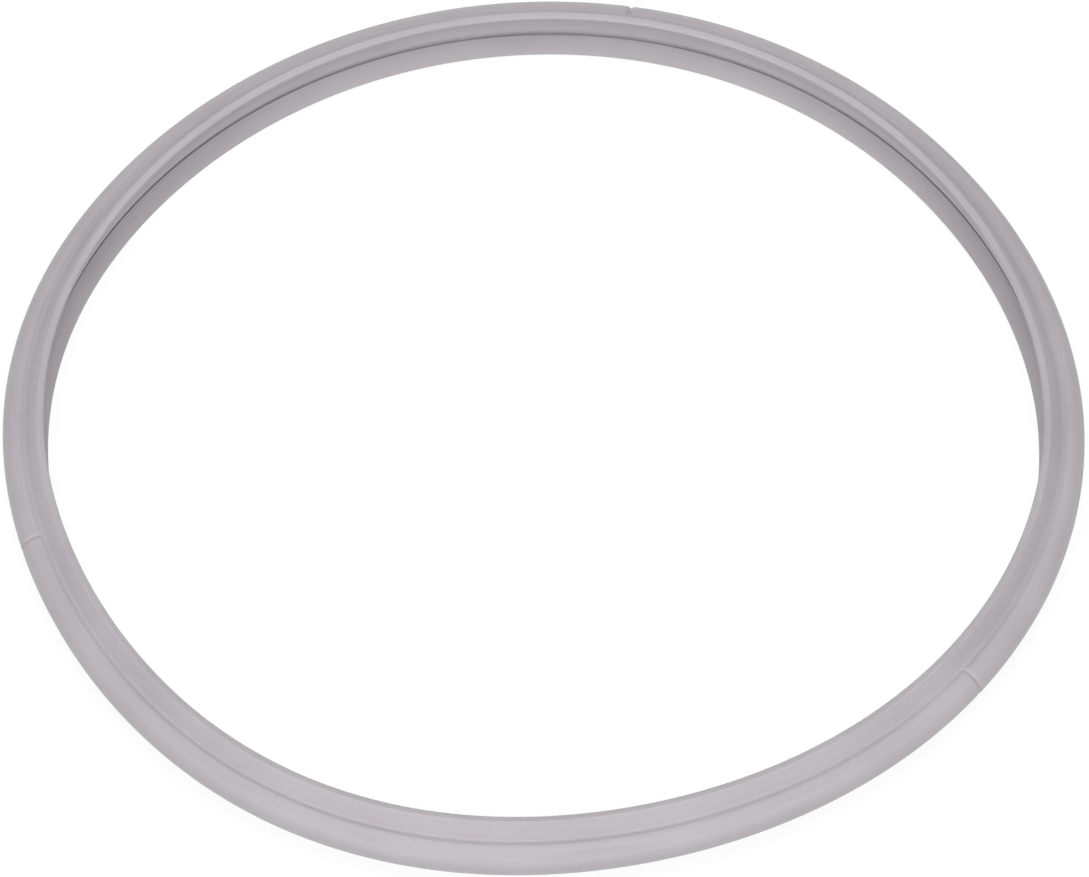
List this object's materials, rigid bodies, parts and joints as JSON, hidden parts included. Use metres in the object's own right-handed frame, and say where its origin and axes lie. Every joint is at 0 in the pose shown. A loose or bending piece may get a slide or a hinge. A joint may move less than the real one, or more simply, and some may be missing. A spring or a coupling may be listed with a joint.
{
  "type": "pressure cooker sealing ring",
  "caption": "Silicone sealing ring for a pressure cooker lid: a round outer bead and two lips that spread apart inwards.",
  "frame": {"origin": "the ring's centre, halfway between its two lips", "axes": "+Z along the ring's axis; +X and +Y lie in the ring's plane, with one of the bead's grooves at about 80 degrees from +X"},
  "size_m": [0.239, 0.239, 0.0138],
  "materials": {
    "silicone": "satin"
  },
  "bodies": {
    "root": {"sealing_ring": "silicone"}
  },
  "joints": []
}
